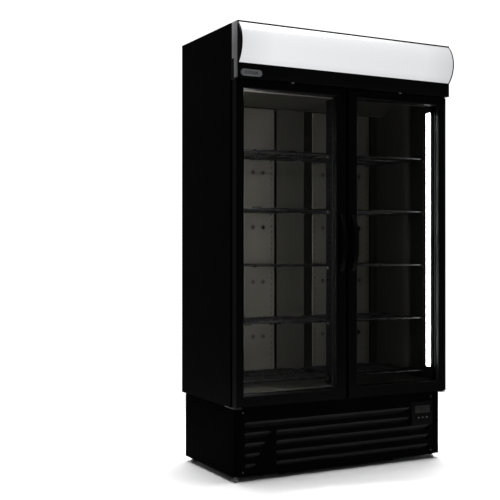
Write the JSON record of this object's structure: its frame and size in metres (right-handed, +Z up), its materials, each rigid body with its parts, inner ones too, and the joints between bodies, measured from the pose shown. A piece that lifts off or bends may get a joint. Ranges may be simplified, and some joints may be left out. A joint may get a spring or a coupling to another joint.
{
  "type": "glass door merchandiser",
  "caption": "Upright double glass door display fridge: black insulated cabinet, lit bowed header, wire shelves, louvred machine base, levelling feet.",
  "frame": {"origin": "on the floor, under the middle of the overall box of the closed machine", "axes": "+X to the viewer's right, -Y out of the doors towards the viewer, +Z up"},
  "size_m": [1.15, 0.626, 2],
  "materials": {
    "black_steel": "satin",
    "foam": "matte",
    "liner_sheet": "satin",
    "black_profile": "satin",
    "shelf_wire": "gloss",
    "clip_steel": "satin",
    "coil_aluminium": "satin",
    "motor_casing": "satin",
    "fan_plastic": "matte",
    "lamp_body": "satin",
    "lamp_diffuser": "matte",
    "lit_diffuser": "satin",
    "black_trim": "gloss",
    "grey_trim": "satin",
    "badge_satin": "satin",
    "chrome": "polished",
    "door_glazing": "gloss",
    "spacer_aluminium": "satin",
    "gasket_rubber": "matte",
    "nylon": "matte",
    "gland_rubber": "matte",
    "copper_line": "satin",
    "display_window": "gloss",
    "foot_plastic": "matte"
  },
  "bodies": {
    "cabinet": {"outer_wrap": "black_steel", "back_panel": "black_steel", "header_box": "black_steel", "hinge_brackets": "black_steel", "base_chassis": "black_steel", "base_side_panels": "black_steel", "front_grille": "black_steel", "rear_grille": "black_steel", "insulation_foam": "foam", "inner_liner": "liner_sheet", "duct_panels": "liner_sheet", "evaporator_cover": "liner_sheet", "front_frame": "black_profile", "centre_mullion": "black_profile", "shelves_left": "shelf_wire", "shelves_right": "shelf_wire", "shelf_clips": "clip_steel", "panel_screws": "clip_steel", "evaporator_coil": "coil_aluminium", "condenser_coil": "coil_aluminium", "fan_motors": "motor_casing", "compressor": "motor_casing", "fan_shroud": "fan_plastic", "electrical_box": "fan_plastic", "lamp_housings": "lamp_body", "lamp_lenses": "lamp_diffuser", "header_lamps": "lamp_diffuser", "header_lens": "lit_diffuser", "lens_end_caps": "black_trim", "controller_bezel": "black_trim", "header_end_trims": "grey_trim", "badge_plate": "badge_satin", "lock_barrels": "chrome", "cord_gland": "gland_rubber", "refrigerant_lines": "copper_line", "controller_display": "display_window"},
    "left_door": {"left_door_frame": "black_profile", "left_door_glass": "door_glazing", "left_door_spacer": "spacer_aluminium", "left_door_gasket": "gasket_rubber", "left_door_handle": "black_trim", "left_door_end_blocks": "nylon"},
    "right_door": {"right_door_frame": "black_profile", "right_door_glass": "door_glazing", "right_door_spacer": "spacer_aluminium", "right_door_gasket": "gasket_rubber", "right_door_handle": "black_trim", "right_door_end_blocks": "nylon"},
    "left_evaporator_fan": {"evaporator_fan_left": "fan_plastic"},
    "right_evaporator_fan": {"evaporator_fan_right": "fan_plastic"},
    "condenser_fan_rotor": {"condenser_fan": "fan_plastic"},
    "left_lock_plug": {"lock_plug_left": "chrome"},
    "right_lock_plug": {"lock_plug_right": "chrome"},
    "set_button": {"button_set": "gland_rubber"},
    "down_button": {"button_down": "gland_rubber"},
    "up_button": {"button_up": "gland_rubber"},
    "front_left_foot": {"foot_front_left": "foot_plastic"},
    "front_right_foot": {"foot_front_right": "foot_plastic"},
    "back_left_foot": {"foot_back_left": "foot_plastic"},
    "back_right_foot": {"foot_back_right": "foot_plastic"}
  },
  "joints": [
    {"name": "left_door_hinge", "type": "hinge", "parent": "cabinet", "child": "left_door", "pos_m": [-0.558, -0.237, 1.043], "axis": [0, 0, -1], "range_deg": [0, 100], "stiffness_Nm_per_rad": 3},
    {"name": "right_door_hinge", "type": "hinge", "parent": "cabinet", "child": "right_door", "pos_m": [0.558, -0.237, 1.043], "axis": [0, 0, 1], "range_deg": [0, 100], "stiffness_Nm_per_rad": 3},
    {"name": "left_evaporator_fan_spin", "type": "hinge", "parent": "cabinet", "child": "left_evaporator_fan", "pos_m": [-0.25, -0.02, 1.874], "axis": [0, 1, 0], "continuous": true},
    {"name": "right_evaporator_fan_spin", "type": "hinge", "parent": "cabinet", "child": "right_evaporator_fan", "pos_m": [0.25, -0.02, 1.874], "axis": [0, 1, 0], "continuous": true},
    {"name": "condenser_fan_spin", "type": "hinge", "parent": "cabinet", "child": "condenser_fan_rotor", "pos_m": [-0.22, -0.06, 0.172], "axis": [0, 1, 0], "continuous": true},
    {"name": "left_lock_turn", "type": "hinge", "parent": "cabinet", "child": "left_lock_plug", "pos_m": [-0.293, -0.26, 1.765], "axis": [0, 0, 1], "range_deg": [0, 90]},
    {"name": "right_lock_turn", "type": "hinge", "parent": "cabinet", "child": "right_lock_plug", "pos_m": [0.293, -0.26, 1.765], "axis": [0, 0, 1], "range_deg": [0, 90]},
    {"name": "set_button_press", "type": "slide", "parent": "cabinet", "child": "set_button", "axis": [0, 1, 0], "range_m": [0, 0.001], "stiffness_N_per_m": 600},
    {"name": "down_button_press", "type": "slide", "parent": "cabinet", "child": "down_button", "axis": [0, 1, 0], "range_m": [0, 0.001], "stiffness_N_per_m": 600},
    {"name": "up_button_press", "type": "slide", "parent": "cabinet", "child": "up_button", "axis": [0, 1, 0], "range_m": [0, 0.001], "stiffness_N_per_m": 600},
    {"name": "front_left_foot_screw", "type": "slide", "parent": "cabinet", "child": "front_left_foot", "axis": [0, 0, -1], "range_m": [-0.008, 0.015]},
    {"name": "front_right_foot_screw", "type": "slide", "parent": "cabinet", "child": "front_right_foot", "axis": [0, 0, -1], "range_m": [-0.008, 0.015]},
    {"name": "back_left_foot_screw", "type": "slide", "parent": "cabinet", "child": "back_left_foot", "axis": [0, 0, -1], "range_m": [-0.008, 0.015]},
    {"name": "back_right_foot_screw", "type": "slide", "parent": "cabinet", "child": "back_right_foot", "axis": [0, 0, -1], "range_m": [-0.008, 0.015]}
  ]
}
